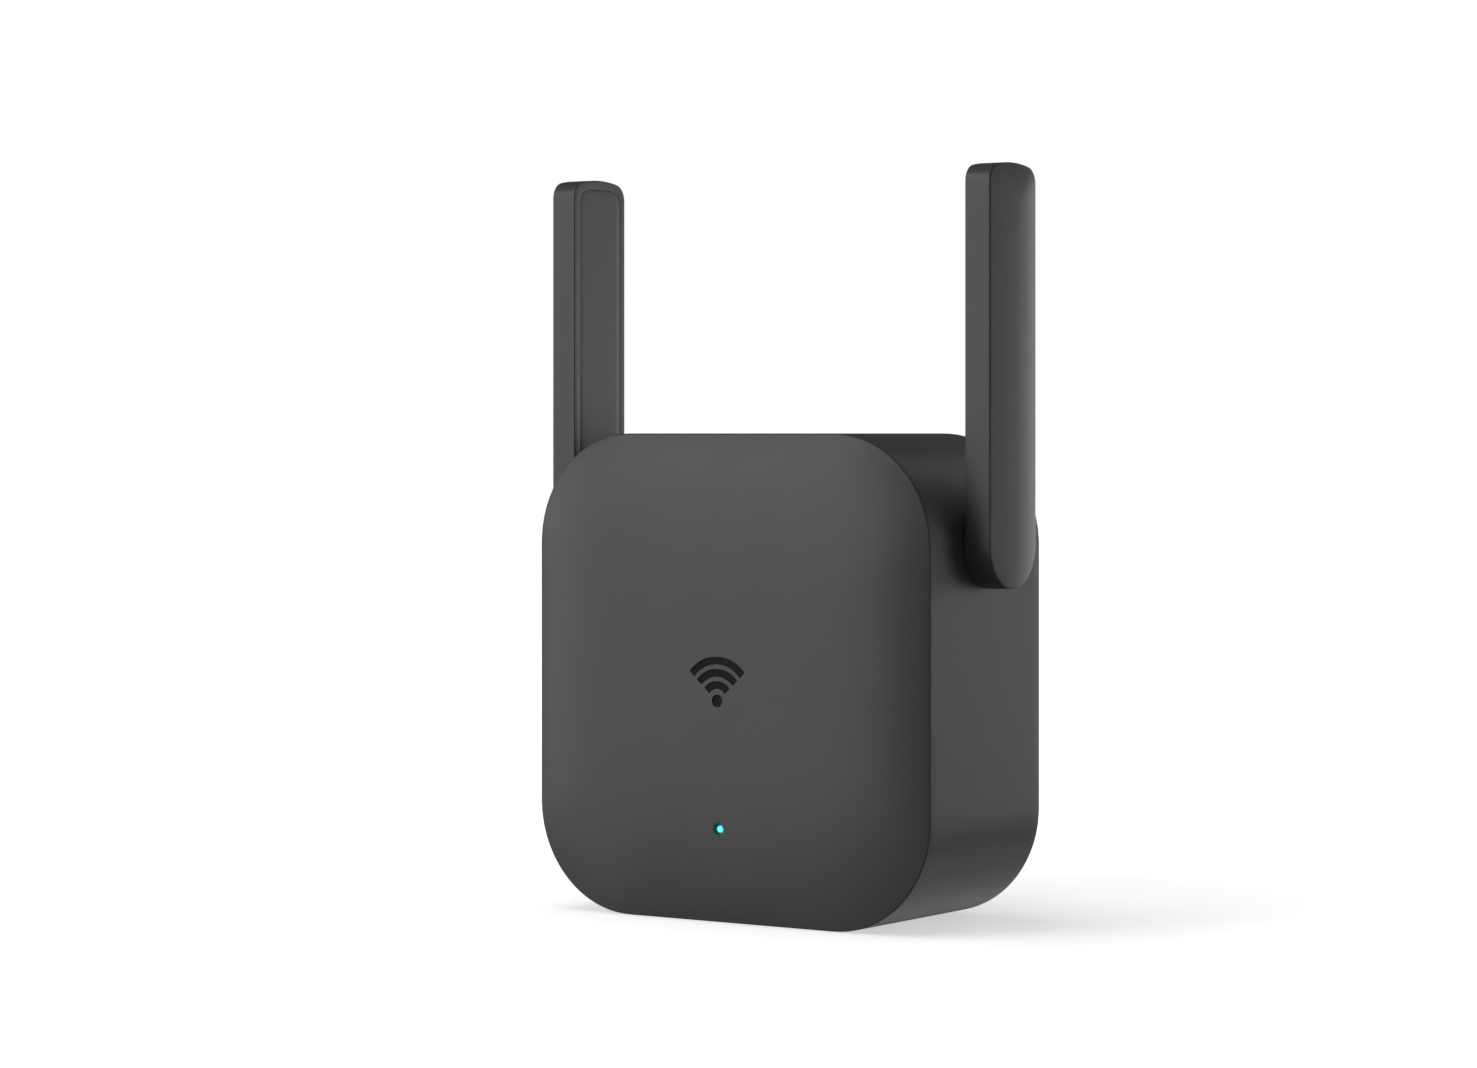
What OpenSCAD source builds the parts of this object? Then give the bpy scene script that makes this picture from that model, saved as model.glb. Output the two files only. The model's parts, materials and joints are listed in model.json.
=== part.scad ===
// Wall-plug wireless range extender with two folding side antennas.
// Millimetres. +Z is up, the crowned front faces -Y and the plug points along +Y.
// The origin is under the middle of the whole object, on the surface it stands on.

/* [Body] */
// Width of the housing across the two flat sides
body_w = 69.8; // [66:0.1:76]
// Height of the housing
body_h = 72.5; // [70:0.1:80]
// Depth of the housing from its front rim to its back
body_d = 31.2; // [30:0.1:36]
// Radius of the four large corners
corner_r = 16.6; // [14:0.1:18]
// Thickness of the housing walls
wall = 2.0; // [1.6:0.1:2.2]
// How far the front face bulges at its middle
crown = 3.2; // [1.5:0.1:4]
// How late the front face turns down towards its rim
crown_power = 4.6; // [3:0.1:6]

/* [Plug] */
// Width of the plug's raised base
boss_w = 35.3; // [34:0.1:37]
// Height of the plug's raised base
boss_h = 13.7; // [12:0.1:15]
// How far the plug's base stands out of the back
boss_d = 6.5; // [5:0.1:8]
// Height of the plug above the surface
plug_z = 36.2; // [34:0.1:38]
// Distance between the two pins
pin_spacing = 19; // [18.5:0.1:19.5]
// Length of a pin outside its base
pin_l = 19; // [18:0.1:20]
// Radius of a pin's bare end
pin_r = 2.0; // [1.9:0.05:2.4]
// Length of the insulating sleeve
sleeve_l = 10; // [8:0.5:11]
// Radius of the insulating sleeve
sleeve_r = 1.8; // [1.7:0.05:1.9]

/* [Antennas] */
// Width of an arm, measured front to back
arm_w = 13.25; // [12.5:0.05:14]
// Thickness of an arm at its edges
arm_t = 4.2; // [3.8:0.05:5]
// How far an arm's outer face bulges
arm_crown = 0.6; // [0.2:0.05:0.8]
// Height of the tip of a raised arm
arm_top_z = 112; // [108:0.1:112.5]
// Height of the pivots
pivot_z = 56.4; // [56.4:0.1:58]
// Space between an arm and the side of the housing
arm_gap = 0.35; // [0.3:0.05:1]
// Radius of the hollow pivot
tube_r = 3.0; // [2.8:0.1:3.2]

/* [Details] */
// Height of the status lamp's hole
lamp_z = 14.1; // [12:0.1:18]
// Radius of the status lamp's hole
lamp_r = 0.85; // [0.8:0.05:1.2]
// Radius of the reset pinhole
pinhole_r = 0.9; // [0.8:0.05:1.2]
// Travel of the reset switch
reset_travel = 0.25; // [0.2:0.05:0.4]

/* [Hidden] */
$fn = 48;

// Colours of the finishes.
shell_grey = [0.09, 0.09, 0.092];
inlay_grey = [0.025, 0.025, 0.027];
lamp_teal = [0.1, 0.9, 0.8];
board_green = [0.05, 0.3, 0.15];
chip_black = [0.05, 0.05, 0.055];
tin_silver = [0.75, 0.75, 0.75];
nickel = [0.78, 0.77, 0.74];
copper = [0.8, 0.45, 0.25];
sleeve_black = [0.04, 0.04, 0.04];
tape_yellow = [0.9, 0.75, 0.2];
wire_red = [0.7, 0.08, 0.06];
label_grey = [0.2, 0.2, 0.2];
can_blue = [0.08, 0.1, 0.25];
film_white = [0.85, 0.85, 0.82];
fit = 0.05;

// Planes of the housing.
total_d = crown + body_d + boss_d + pin_l;
rim_y = crown - total_d / 2;
back_y = rim_y + body_d;
boss_y = back_y + boss_d;
tip_y = boss_y + pin_l;
middle_z = body_h / 2;
edge = 0.35;
lip = 1.2;
cover_gap = 0.12;
cover_t = 2.0;
cover_y = back_y - cover_t;
side_x = body_w / 2;

// Planes of an arm, for the right-hand one.
pivot_y = rim_y + body_d / 2;
arm_x = side_x + arm_gap;
arm_edge_x = arm_x + arm_t;
arm_r = arm_w / 2;
panel_inset = 1.45;
panel_t = 0.9;
cavity_inset = 2.2;
cavity_x = arm_edge_x - 0.9;
tip_arch_r = 25;
tip_corner_r = 2.5;
hub_r = arm_r - 0.05;
tube_bore_r = 1.6;
tube_end_x = side_x - 5.9;
clip_x = tube_end_x + 1;
clip_t = 0.8;
groove_r = 2.4;
washer_t = 0.5;
seat_x = clip_x + clip_t + washer_t + 2 * fit;
coax_r = 0.6;

// Planes of the two boards.
main_y = rim_y + 7.25;
main_t = 1.2;
main_back_y = main_y + main_t;
main_screws = [for (x = [-25.5, 25.5], z = [14, 58.5]) [x, z]];
power_t = 1.6;
power_y = cover_y - 2.75 - power_t;
power_back_y = power_y + power_t;
power_w = 52;
power_z = [12, 60];
power_screws = [for (x = [-23, 23], z = [15, 57]) [x, z]];
socket_x = 22;
reset_x = -12;
reset_y = main_back_y + 1.8;

// ---- Outlines ----

// Points along an arc of radius r about c, from angle a to angle b in n steps.
function arc(c, r, a, b, n) =
    [for (i = [0:n]) c + r * [cos(a + (b - a) * i / n), sin(a + (b - a) * i / n)]];

// Outline of the housing, seen from the front and taken in by inset.
function body_outline(inset = 0, n = 12) =
    let (x = body_w / 2 - corner_r, z = body_h / 2 - corner_r, r = corner_r - inset)
    concat(arc([x, z], r, 0, 90, n), arc([-x, z], r, 90, 180, n),
           arc([-x, -z], r, 180, 270, n), arc([x, -z], r, 270, 360, n));

// Outline of an arm in the side view, as (y, z), taken in by inset: round at the pivot,
// straight along its length, and closed by a shallow arch between two small corners.
function arm_outline(inset = 0) =
    let (corner = max(tip_corner_r - inset, 0.05),
         half = arm_r - inset,
         arch = tip_arch_r - inset,
         arch_c = [pivot_y, arm_top_z - tip_arch_r],
         y = half - corner,
         z = sqrt(pow(arch - corner, 2) - y * y),
         turn = atan2(z, y))
    concat(arc([pivot_y, pivot_z], half, 180, 360, 16),
           arc(arch_c + [y, z], corner, 0, turn, 4),
           arc(arch_c, arch, turn + 4, 176 - turn, 4),
           arc(arch_c + [-y, z], corner, 180 - turn, 180, 4));

// ---- Building blocks ----

// A shape drawn in x and z, made solid from y = a to y = b.
module along_y(a, b) {
    translate([0, b, 0]) rotate([90, 0, 0]) linear_extrude(b - a) children();
}

// A shape drawn in y and z, made solid from x = a to x = b.
module along_x(a, b) {
    translate([a, 0, 0]) rotate([90, 0, 90]) linear_extrude(b - a) children();
}

// A rod of radius r about the line x, z, from y = a to y = b.
module rod_y(x, z, r, a, b) {
    translate([x, a, z]) rotate([-90, 0, 0]) cylinder(r = r, h = b - a);
}

// A rod of radius r about the line y, z, from x = a to x = b.
module rod_x(y, z, r, a, b) {
    translate([a, y, z]) rotate([0, 90, 0]) cylinder(r = r, h = b - a);
}

// A box w wide and h high about x, z, from y = a to y = b.
module block_y(x, z, w, h, a, b) {
    translate([x - w / 2, a, z - h / 2]) cube([w, b - a, h]);
}

// Copies what is inside to each x, z of a list.
module at_each(places) {
    for (p = places) translate([p[0], 0, p[1]]) children();
}

// A rectangle w by h with round corners of radius r.
module round_rect(w, h, r) {
    square([w - 2 * r, h], center = true);
    square([w, h - 2 * r], center = true);
    for (x = [r - w / 2, w / 2 - r], y = [r - h / 2, h / 2 - r]) translate([x, y]) circle(r);
}

// The housing's outline at its own height, taken in by inset.
module body_shape(inset = 0) {
    translate([0, middle_z])
        round_rect(body_w - 2 * inset, body_h - 2 * inset, corner_r - inset);
}

// The exact shape of an arm in the side view, matching arm_outline.
module arm_shape(inset = 0) {
    corner = max(tip_corner_r - inset, 0.05);
    half = arm_r - inset;
    arch = tip_arch_r - inset;
    y = half - corner;
    z = sqrt(pow(arch - corner, 2) - y * y);
    arch_z = arm_top_z - tip_arch_r;
    reach = y * arch / (arch - corner);
    translate([pivot_y, pivot_z]) circle(half);
    translate([pivot_y - half, pivot_z]) square([2 * half, arch_z + z - pivot_z]);
    for (side = [-y, y]) translate([pivot_y + side, arch_z + z]) circle(corner);
    intersection() {
        translate([pivot_y, arch_z]) circle(arch, $fn = 96);
        translate([pivot_y - reach, arch_z + z]) square([2 * reach, arch]);
    }
}

// A solid lofted through rings of equal length, from the first ring to the last.
module loft(rings) {
    n = len(rings[0]);
    last = len(rings) - 1;
    polyhedron(
        points = [for (ring = rings) for (p = ring) p],
        faces = concat(
            [[for (i = [0:n - 1]) i]],
            [for (k = [0:last - 1]) for (i = [0:n - 1])
                let (j = (i + 1) % n) [k * n + i, (k + 1) * n + i, (k + 1) * n + j, k * n + j]],
            [[for (i = [n - 1:-1:0]) last * n + i]]));
}

// The pillow of the front face. Each ring is the outline scaled by s about the middle,
// standing crown * (1 - s ^ crown_power) in front of the rim. It is taken in by inset and
// moved back by shift, and its flat back is at y = to_y.
module front_pillow(inset, shift, to_y, steps) {
    outline = body_outline(inset, 8);
    scales = [for (i = [0:steps - 1]) sin(90 * (steps - i) / steps)];
    loft(concat(
        [[for (p = outline) [p[0], to_y, p[1] + middle_z]]],
        [for (s = scales)
            [for (p = outline)
                [p[0] * s, rim_y + shift - crown * (1 - pow(s, crown_power)), p[1] * s + middle_z]]]));
}

// How far the middle of the front face stands forward at a height z.
function face_y(z) = rim_y - crown * (1 - pow(abs(z - middle_z) / (body_h / 2), crown_power));

// ---- Housing ----

// Three arcs over a dot, the plain sign for radio waves.
module wave_sign(grow = 0) {
    dot_r = 0.8;
    half_angle = 48;
    base_z = middle_z - 3.2;
    translate([0, base_z]) circle(r = dot_r + grow);
    translate([0, base_z]) intersection() {
        for (r = [2.35, 4.15, 5.95]) difference() {
            circle(r + 0.45 + grow);
            circle(r - 0.45 - grow);
        }
        polygon([[0, -grow], [-9 * tan(half_angle), 9], [9 * tan(half_angle), 9]]);
    }
}

// Narrow slots through the underside, for air.
module floor_vents() {
    for (i = [-4:4])
        translate([i * 3 - 0.6, cover_y - 14, -1]) cube([1.2, 10, wall + 2]);
}

// Hooks along the inside of the walls: [x, z, turn].
snap_places = [[0, body_h - wall, 0], [0, wall, 180], [side_x - wall, middle_z, 90],
               [wall - side_x, middle_z, 270]];

// A hook of the rear cover that lies against a wall and catches in a notch there.
module snap_hook(clearance = 0) {
    w = 8 + 2 * clearance;
    translate([-w / 2, cover_y - 3.2 - clearance, -1.3]) cube([w, 3.3 + clearance, 1.2]);
    translate([-w / 2, cover_y - 3.0 - clearance, -0.2])
        cube([w, 1.2 + 2 * clearance, 0.7 + clearance]);
}

module at_snaps() {
    for (p = snap_places) translate([p[0], 0, p[1]]) rotate([0, p[2], 0]) children();
}

module front_housing() color(shell_grey) difference() {
    union() {
        difference() {
            union() {
                along_y(rim_y, back_y) body_shape();
                front_pillow(edge, 0, rim_y + 1, 9);
            }
            along_y(rim_y + wall, back_y + 1) body_shape(wall);
            front_pillow(wall + 0.2, wall, rim_y + wall + 1, 6);
        }
        at_each(main_screws) rod_y(0, 0, 2.6, rim_y + 0.4, main_y);
        for (side = [-1, 1])
            translate([side * (side_x - wall / 2 + seat_x) / 2, pivot_y, pivot_z])
                rotate([0, 90, 0])
                    cylinder(r = 5.6, h = side_x - wall / 2 - seat_x, center = true);
    }
    along_y(cover_y, back_y + 1) body_shape(lip);
    at_each(main_screws) rod_y(0, 0, 0.95, rim_y + 2, main_y + 1);
    rod_x(pivot_y, pivot_z, tube_r + fit, -side_x - 1, side_x + 1);
    rod_y(0, lamp_z, lamp_r, rim_y - crown - 1, rim_y + wall + 1);
    along_y(rim_y - crown - 1, rim_y - crown + 0.5) wave_sign(0.05);
    translate([reset_x, reset_y, -1]) cylinder(r = pinhole_r, h = wall + 2);
    floor_vents();
    at_snaps() snap_hook(0.15);
}

module pin_shape(extra = 0) {
    rod_y(0, 0, pin_r + extra, cover_y - 1.5, boss_y);
    rod_y(0, 0, pin_r + 1 + extra, back_y, back_y + 1.5);
}

module rear_cover() color(shell_grey) difference() {
    union() {
        along_y(cover_y, back_y) body_shape(lip + cover_gap);
        along_y(back_y - 1, boss_y) plug_outline();
        at_each(power_screws) rod_y(0, 0, 2.6, power_back_y, cover_y + 1);
        for (x = [-pin_spacing / 2, pin_spacing / 2])
            rod_y(x, plug_z, 3.6, cover_y - 1.5, cover_y + 1);
        at_snaps() snap_hook();
    }
    at_each(power_screws) rod_y(0, 0, 0.95, power_back_y - 1, cover_y + 1);
    at_each([[-pin_spacing / 2, plug_z], [pin_spacing / 2, plug_z]]) pin_shape();
    for (i = [-6:6])
        block_y(i * 2.8, 58, 1.3, 10, cover_y - 1, back_y + 1);
    block_y(0, 20, 44.4, 12.4, back_y - 0.25, back_y + 1);
}

// The plug base's outline: a flat bar with both ends cut to a blunt point.
module plug_outline() {
    translate([0, plug_z]) intersection() {
        square([boss_w, boss_h], center = true);
        rotate(45) square((boss_w + boss_h * 0.42) / sqrt(2), center = true);
    }
}

module rating_label() color(label_grey)
    along_y(back_y - 0.25, back_y - 0.05)
        translate([0, 20]) round_rect(44, 12, 1);

module front_emblem() color(inlay_grey)
    along_y(rim_y - crown + 0.2, rim_y - crown + 0.5) wave_sign();

module light_guide() color(lamp_teal) {
    rod_y(0, lamp_z, 0.5, face_y(lamp_z) + 0.3, face_y(lamp_z) + 0.8);
    rod_y(0, lamp_z, lamp_r - 0.05, face_y(lamp_z) + 0.75, main_y - 0.8);
    rod_y(0, lamp_z, 1.6, face_y(lamp_z) + wall + 0.4, face_y(lamp_z) + wall + 1);
}

// ---- Main board ----

module main_board() color(board_green) difference() {
    along_y(main_y, main_back_y)
        translate([0, middle_z]) round_rect(61, 64.5, 13);
    at_each(main_screws) rod_y(0, 0, 1.2, main_y - 1, main_back_y + 1);
}

module wifi_chip() color(chip_black) block_y(0, 48, 9, 9, main_y - 0.9, main_y);

module flash_chip() color(chip_black) {
    block_y(-2, 39.5, 5.2, 4, main_y - 1.4, main_y);
    for (i = [0:3], side = [-1, 1])
        block_y(-3.9 + i * 1.27, 39.5 + side * 2.4, 0.4, 0.8, main_y - 0.3, main_y);
}

module clock_crystal() color(tin_silver) block_y(5.5, 39.5, 3.2, 2.5, main_y - 0.8, main_y);

module shield_can() color(tin_silver) difference() {
    block_y(0, 45.5, 20, 18, main_y - 2.4, main_y);
    block_y(0, 45.5, 19.6, 17.6, main_y - 2.2, main_y + 1);
    for (x = [-6:3:6], z = [41:3:50]) rod_y(x, z, 0.5, main_y - 3, main_y - 2);
}

module status_led() color(film_white) {
    block_y(0, lamp_z, 1.6, 0.8, main_y - 0.3, main_y);
    rod_y(0, lamp_z, 0.35, main_y - 0.6, main_y - 0.2);
}

module reset_switch() color(chip_black) difference() {
    block_y(reset_x, 7.4, 6, 3.8, main_back_y, main_back_y + 3.5);
    translate([reset_x, reset_y, 5]) cylinder(r = 0.8 + fit, h = 2.2);
}

module reset_plunger() color(film_white) translate([reset_x, reset_y, 4]) {
    cylinder(r = 0.8, h = 1.5 + reset_travel);
}

module coax_sockets() color(nickel)
    for (side = [-1, 1]) {
        block_y(side * socket_x, pivot_z, 2.6, 2.6, main_back_y, main_back_y + 0.4);
        rod_y(side * socket_x, pivot_z, 1.0, main_back_y + 0.3, main_back_y + 1.2);
    }

module main_capacitors() color(can_blue)
    for (x = [-12, -5, 9]) rod_y(x, 63, 2.5, main_back_y, main_back_y + 5.4);

module power_inductor() color(chip_black) difference() {
    block_y(12, 11.5, 6, 6, main_back_y, main_back_y + 2.8);
    rod_y(12, 11.5, 2, main_back_y + 2.4, main_back_y + 3);
}

module dc_connector() color(film_white) difference() {
    block_y(0, 10, 8, 5, main_back_y, main_back_y + 4.5);
    for (x = [-1.5, 1.5]) rod_y(x, 10, 0.7, main_back_y + 2.5, main_back_y + 5);
}

// A lead from the connector that steps up over two bends to the power board.
module dc_lead(x) {
    r = 0.65;
    start_y = main_back_y + 2.5;
    bend = 2;
    turn_y = power_y - 2 * bend;
    rod_y(x, 10, r, start_y, turn_y);
    translate([x, turn_y, 10 + bend]) rotate([0, 90, 0]) rotate_extrude(angle = 90)
        translate([bend, 0]) circle(r = r);
    translate([x, power_y, 10 + bend]) rotate([0, 90, 0]) rotate([0, 0, 180])
        rotate_extrude(angle = 90) translate([bend, 0]) circle(r = r);
}

module dc_lead_positive() color(wire_red) dc_lead(1.5);

module dc_lead_negative() color(chip_black) dc_lead(-1.5);

// A pan-head screw along Y whose head rests on a board's face at y = 0.
module board_screw(shank, dir) {
    rotate([dir > 0 ? 0 : 180, 0, 0]) difference() {
        union() {
            rod_y(0, 0, 0.9, -0.1, shank);
            rod_y(0, 0, 1.9, -1.2, 0);
        }
        block_y(0, 0, 0.5, 2.6, -2, -0.6);
        block_y(0, 0, 2.6, 0.5, -2, -0.6);
    }
}

module main_board_screws() color(tin_silver)
    at_each(main_screws) translate([0, main_back_y, 0]) board_screw(5.5, -1);

// ---- Power supply ----

module power_board() color(board_green) difference() {
    along_y(power_y, power_back_y)
        translate([0, (power_z[0] + power_z[1]) / 2])
            round_rect(power_w, power_z[1] - power_z[0], 2);
    at_each(power_screws) rod_y(0, 0, 1.2, power_y - 1, power_back_y + 1);
    for (x = [-pin_spacing / 2, pin_spacing / 2])
        rod_y(x, plug_z, 0.95, power_y - 1, power_back_y + 1);
}

core_x = 6;
core_z = 49;

module transformer_core() color(chip_black) difference() {
    block_y(core_x, core_z, 14, 13, power_y - 12.5, power_y - 1.5);
    block_y(core_x, core_z, 14.2, 7.6, power_y - 10, power_y - 4);
}

module transformer_bobbin() color(sleeve_black) {
    block_y(core_x, core_z, 13.4, 15, power_y - 1.5, power_y);
    difference() {
        block_y(core_x, core_z, 11.6, 7.4, power_y - 9.9, power_y - 4.1);
        block_y(core_x, core_z, 9.6, 8, power_y - 9.2, power_y - 4.8);
    }
}

module transformer_winding() color(tape_yellow)
    block_y(core_x, core_z, 9.5, 7.3, power_y - 9.1, power_y - 4.9);

// A round can with a groove near its foot, standing on the power board.
module can(x, z, r, h) {
    rod_y(x, z, r, power_y - h, power_y - 1.6);
    rod_y(x, z, r - 0.4, power_y - 1.7, power_y - 1);
    rod_y(x, z, r, power_y - 1.1, power_y);
}

module input_capacitors() color(can_blue) {
    can(-17, 50, 4, 12);
    can(-17, 41, 4, 12);
}

module output_capacitors() color(can_blue) {
    can(20, 36, 4, 11);
    can(19, 26, 3.2, 9);
}

module bridge_rectifier() color(chip_black) {
    block_y(-8, 47, 5, 4, power_y - 2.6, power_y - 0.2);
    for (x = [-9.3, -6.7], side = [-1, 1])
        block_y(x, 47 + side * 2.4, 0.7, 1.2, power_y - 1, power_y);
}

module fuse_resistor() color(film_white) {
    rod_x(power_y - 2, 56, 1.7, -12, -4);
    for (x = [-12.6, -3.9]) translate([x, power_y - 2.3, 55.7]) cube([0.6, 2.3, 0.6]);
}

module filter_inductor() color(chip_black) {
    rod_y(-18, 28, 3.3, power_y - 7, power_y - 6);
    rod_y(-18, 28, 2.7, power_y - 6.1, power_y - 0.9);
    rod_y(-18, 28, 3.3, power_y - 1, power_y);
}

module controller_chip() color(chip_black) {
    block_y(-6, 27, 5, 4, power_y - 1.6, power_y);
    for (i = [0:3], side = [-1, 1])
        block_y(-7.9 + i * 1.27, 27 + side * 2.4, 0.4, 0.8, power_y - 0.3, power_y);
}

module safety_capacitor() color(can_blue) {
    rod_x(power_y - 5.6, plug_z, 3.6, -1.25, 1.25);
    for (z = [-2.5, 2.5]) rod_y(0, plug_z + z, 0.3, power_y - 4, power_y);
}

module output_diode() color(chip_black) {
    block_y(20, 47, 4.6, 2.8, power_y - 2.3, power_y - 0.1);
    for (side = [-1, 1]) block_y(20 + side * 2.6, 47, 1, 1.5, power_y - 0.6, power_y);
}

module power_board_screws() color(tin_silver)
    at_each(power_screws) translate([0, power_y, 0]) board_screw(4, 1);

module insulation_sheet() color(film_white) along_y(power_y - 12.8, power_y - 12.5)
    translate([0, 36.5]) round_rect(38, 40, 2);

// ---- Plug ----

module plug_pin() {
    core_r = 1.4;
    pin_shape();
    rod_y(0, 0, core_r, boss_y, boss_y + sleeve_l);
    rod_y(0, 0, pin_r, boss_y + sleeve_l, tip_y - 1);
    translate([0, tip_y - 1, 0]) rotate([-90, 0, 0]) cylinder(r1 = pin_r, r2 = 1.2, h = 1);
    rod_y(0, 0, 0.8, power_y - 1.2, cover_y - 1.4);
}

module plug_pins() color(nickel)
    at_each([[-pin_spacing / 2, plug_z], [pin_spacing / 2, plug_z]]) plug_pin();

module pin_sleeves() color(sleeve_black)
    for (x = [-pin_spacing / 2, pin_spacing / 2]) difference() {
        rod_y(x, plug_z, sleeve_r, boss_y, boss_y + sleeve_l);
        rod_y(x, plug_z, 1.4, boss_y - 1, boss_y + sleeve_l + 1);
    }

// ---- Antennas, drawn for the right-hand side ----

// The bulge of an arm's outer face: rings taken in step by step, each standing further out.
module arm_pillow() {
    steps = 5;
    start = 0.3;
    insets = [for (i = [0:steps]) start + (arm_r - start - 0.4) * i / steps];
    loft(concat(
        [[for (p = arm_outline(start)) [arm_edge_x - 0.4, p[0], p[1]]]],
        [for (d = insets)
            [for (p = arm_outline(d))
                [arm_edge_x + arm_crown * (1 - pow(1 - (d - start) / (arm_r - start), 2)),
                 p[0], p[1]]]]));
}

module antenna_shell() color(shell_grey) difference() {
    union() {
        along_x(arm_x, arm_edge_x) arm_shape();
        arm_pillow();
    }
    along_x(arm_x - 1, arm_x + panel_t) arm_shape(panel_inset - 0.04);
    along_x(arm_x + panel_t - 0.1, cavity_x) arm_shape(cavity_inset);
}

module antenna_cover() color(shell_grey) difference() {
    union() {
        along_x(arm_x, arm_x + panel_t) arm_shape(panel_inset);
        rod_x(pivot_y, pivot_z, hub_r, side_x + fit, arm_x);
    }
    rod_x(pivot_y, pivot_z, tube_r, side_x - 1, arm_x + panel_t + 1);
}

module pivot_tube() color(sleeve_black) difference() {
    union() {
        rod_x(pivot_y, pivot_z, tube_r, tube_end_x, arm_x + panel_t + 0.1);
        rod_x(pivot_y, pivot_z, 4.2, arm_x + panel_t, arm_x + panel_t + 0.6);
    }
    rod_x(pivot_y, pivot_z, tube_bore_r, tube_end_x - 1, arm_x + panel_t + 2);
    difference() {
        rod_x(pivot_y, pivot_z, tube_r + 1, clip_x, clip_x + clip_t);
        rod_x(pivot_y, pivot_z, groove_r, clip_x - 1, clip_x + clip_t + 1);
    }
}

module retaining_clip() color(tin_silver) difference() {
    rod_x(pivot_y, pivot_z, 4.6, clip_x + 0.02, clip_x + clip_t - 0.02);
    rod_x(pivot_y, pivot_z, groove_r, clip_x - 1, clip_x + clip_t + 1);
    translate([clip_x - 1, pivot_y - 1.7, pivot_z - 6]) cube([clip_t + 2, 3.4, 6]);
}

module friction_washer() color(sleeve_black) difference() {
    rod_x(pivot_y, pivot_z, 5.0, clip_x + clip_t + fit, seat_x - fit);
    rod_x(pivot_y, pivot_z, tube_r + 0.15, clip_x, seat_x + 1);
}

radiator_x = arm_x + panel_t + 1.35;
radiator_z = [66, 107];

module radiator_board() color(board_green)
    along_x(radiator_x, radiator_x + 0.6)
        translate([pivot_y, (radiator_z[0] + radiator_z[1]) / 2])
            round_rect(7.6, radiator_z[1] - radiator_z[0], 1);

// A folded strip of copper on each half of the radiator's board.
module radiator_trace() color(copper) along_x(radiator_x + 0.6, radiator_x + 0.68) {
    feed_z = (radiator_z[0] + radiator_z[1]) / 2;
    for (side = [-1, 1]) translate([pivot_y, feed_z]) {
        translate([-0.6, side > 0 ? 0.5 : -20.5]) square([1.2, side > 0 ? 18 : 20]);
        translate([-2.8, side > 0 ? 16.9 : -18.5]) square([5.6, 1.6]);
        for (y = [-2.8, 1.6]) translate([y, side > 0 ? 7 : -18.5]) square([1.2, 11.5]);
    }
}

// The lead inside the arm: down from the radiator, then round into the hollow pivot.
module antenna_coax() color(sleeve_black) {
    bend = 2;
    run_x = arm_x + panel_t + 1.25;
    translate([run_x, pivot_y, pivot_z + bend])
        cylinder(r = coax_r, h = radiator_z[0] - pivot_z - bend);
    translate([run_x - bend, pivot_y, pivot_z + bend]) rotate([90, 0, 0]) mirror([0, 1, 0])
        rotate_extrude(angle = 90) translate([bend, 0]) circle(r = coax_r);
    rod_x(pivot_y, pivot_z, coax_r, side_x - 1, run_x - bend);
}

// The lead inside the housing: out of the hollow pivot and round to the board's socket.
module body_coax() color(sleeve_black) {
    bend = 3;
    plug_y = main_back_y + 1.25;
    rod_x(pivot_y, pivot_z, coax_r, socket_x + bend, side_x - 1.3);
    translate([socket_x + bend, pivot_y - bend, pivot_z]) rotate([0, 0, 90])
        rotate_extrude(angle = 90) translate([bend, 0]) circle(r = coax_r);
    rod_y(socket_x, pivot_z, coax_r, plug_y, pivot_y - bend);
    rod_y(socket_x, pivot_z, 1.5, plug_y, plug_y + 0.9);
}

module on_side(side) {
    if (side == "right") children();
    else mirror([1, 0, 0]) children();
}

front_housing();
rear_cover();
front_emblem();
light_guide();
rating_label();
main_board();
wifi_chip();
flash_chip();
clock_crystal();
shield_can();
status_led();
reset_switch();
reset_plunger();
coax_sockets();
main_capacitors();
power_inductor();
dc_connector();
dc_lead_positive();
dc_lead_negative();
main_board_screws();
power_board();
transformer_core();
transformer_bobbin();
transformer_winding();
input_capacitors();
output_capacitors();
bridge_rectifier();
fuse_resistor();
filter_inductor();
controller_chip();
safety_capacitor();
output_diode();
power_board_screws();
insulation_sheet();
plug_pins();
pin_sleeves();
for (side = ["left", "right"]) on_side(side) {
    antenna_shell();
    antenna_cover();
    pivot_tube();
    radiator_board();
    radiator_trace();
    antenna_coax();
    retaining_clip();
    friction_washer();
    body_coax();
}
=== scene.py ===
"""Wall-plug wireless range extender with two folding antennas: surfaces, finishes and light.

Lengths are millimetres in the frame's axes: +Z up, the crowned front faces -Y, the plug points
along +Y. MM turns them into metres where a mesh is made or a finish is scaled. Lights and the
camera are placed in metres.
"""

import math

import bpy
import numpy as np
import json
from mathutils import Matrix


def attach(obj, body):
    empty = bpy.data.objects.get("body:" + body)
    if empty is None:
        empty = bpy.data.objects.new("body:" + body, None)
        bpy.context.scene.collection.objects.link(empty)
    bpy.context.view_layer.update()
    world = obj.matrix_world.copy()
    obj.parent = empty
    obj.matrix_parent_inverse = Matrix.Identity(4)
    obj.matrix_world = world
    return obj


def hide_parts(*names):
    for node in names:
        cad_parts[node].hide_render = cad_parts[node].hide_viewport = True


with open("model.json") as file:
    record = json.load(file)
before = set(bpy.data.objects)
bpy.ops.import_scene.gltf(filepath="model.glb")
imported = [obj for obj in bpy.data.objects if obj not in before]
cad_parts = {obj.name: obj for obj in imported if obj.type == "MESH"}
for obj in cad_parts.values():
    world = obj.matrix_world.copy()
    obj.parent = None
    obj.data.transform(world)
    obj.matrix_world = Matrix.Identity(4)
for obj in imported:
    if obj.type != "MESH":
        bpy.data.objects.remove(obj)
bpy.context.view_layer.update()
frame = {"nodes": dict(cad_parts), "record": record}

MM = 0.001
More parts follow.
